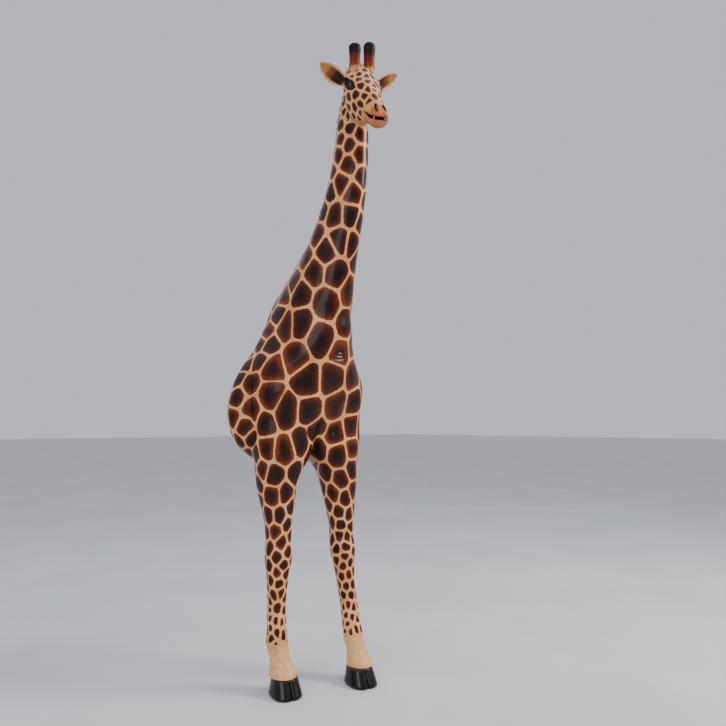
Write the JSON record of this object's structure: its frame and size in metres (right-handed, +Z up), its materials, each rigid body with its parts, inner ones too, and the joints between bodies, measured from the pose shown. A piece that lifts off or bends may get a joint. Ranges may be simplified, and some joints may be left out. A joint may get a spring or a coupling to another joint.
{
  "type": "half giraffe wall statue",
  "caption": "Tall half-giraffe wall statue: flat-backed head, neck, chest and forelegs with cloven hooves, a painted patchy coat and a hanging cleat behind.",
  "frame": {"origin": "centre line of the wall cleat, on its rear face where it meets the wall, 1.66 m above the floor", "axes": "+Z up, +Y out of the giraffe's back into the wall, +X to the giraffe's own left; the giraffe faces -Y"},
  "size_m": [0.7559, 0.7577, 3.0061],
  "materials": {
    "coat": "cream ground with dark brown airbrushed patches under gloss clear coat",
    "hoof": "black, high gloss",
    "ear": "cream with orange-brown inside, gloss",
    "ossicone": "rust red fading to black tips, gloss",
    "eye": "black, mirror gloss",
    "mane": "near-black brown, semi-gloss",
    "tooth": "off-white gloss",
    "tongue": "dark red satin",
    "plywood": "bare birch plywood",
    "cleat_wood": "planed hardwood",
    "laminate": "raw glass-fibre laminate",
    "steel": "grey primer on mild steel",
    "zinc": "zinc plated"
  },
  "bodies": {
    "root": {"back_board": "plywood", "cleat_screw_1": "zinc", "cleat_screw_2": "zinc", "cleat_screw_3": "zinc", "head_plate": "steel", "head_shell": "coat", "left_bar_bolt_1": "zinc", "left_bar_bolt_2": "zinc", "left_bar_bracket": "steel", "left_ear": "ear", "left_eye": "eye", "left_foreleg_shell": "coat", "left_hoof": "hoof", "left_leg_rod": "steel", "left_leg_sleeve": "laminate", "left_ossicone": "ossicone", "left_tooth": "tooth", "neck_brace": "plywood", "neck_mane": "mane", "neck_shell": "coat", "neck_sleeve": "laminate", "right_bar_bolt_1": "zinc", "right_bar_bolt_2": "zinc", "right_bar_bracket": "steel", "right_ear": "ear", "right_eye": "eye", "right_foreleg_shell": "coat", "right_hoof": "hoof", "right_leg_rod": "steel", "right_leg_sleeve": "laminate", "right_ossicone": "ossicone", "right_tooth": "tooth", "shoulder_bar": "steel", "spine_clamp_lower": "steel", "spine_clamp_lower_bolt_1": "zinc", "spine_clamp_lower_bolt_2": "zinc", "spine_clamp_upper": "steel", "spine_clamp_upper_bolt_1": "zinc", "spine_clamp_upper_bolt_2": "zinc", "spine_tube": "steel", "statue_cleat": "cleat_wood", "tongue": "tongue", "torso_mane": "mane", "torso_shell": "coat", "wall_cleat": "cleat_wood"}
  },
  "joints": []
}
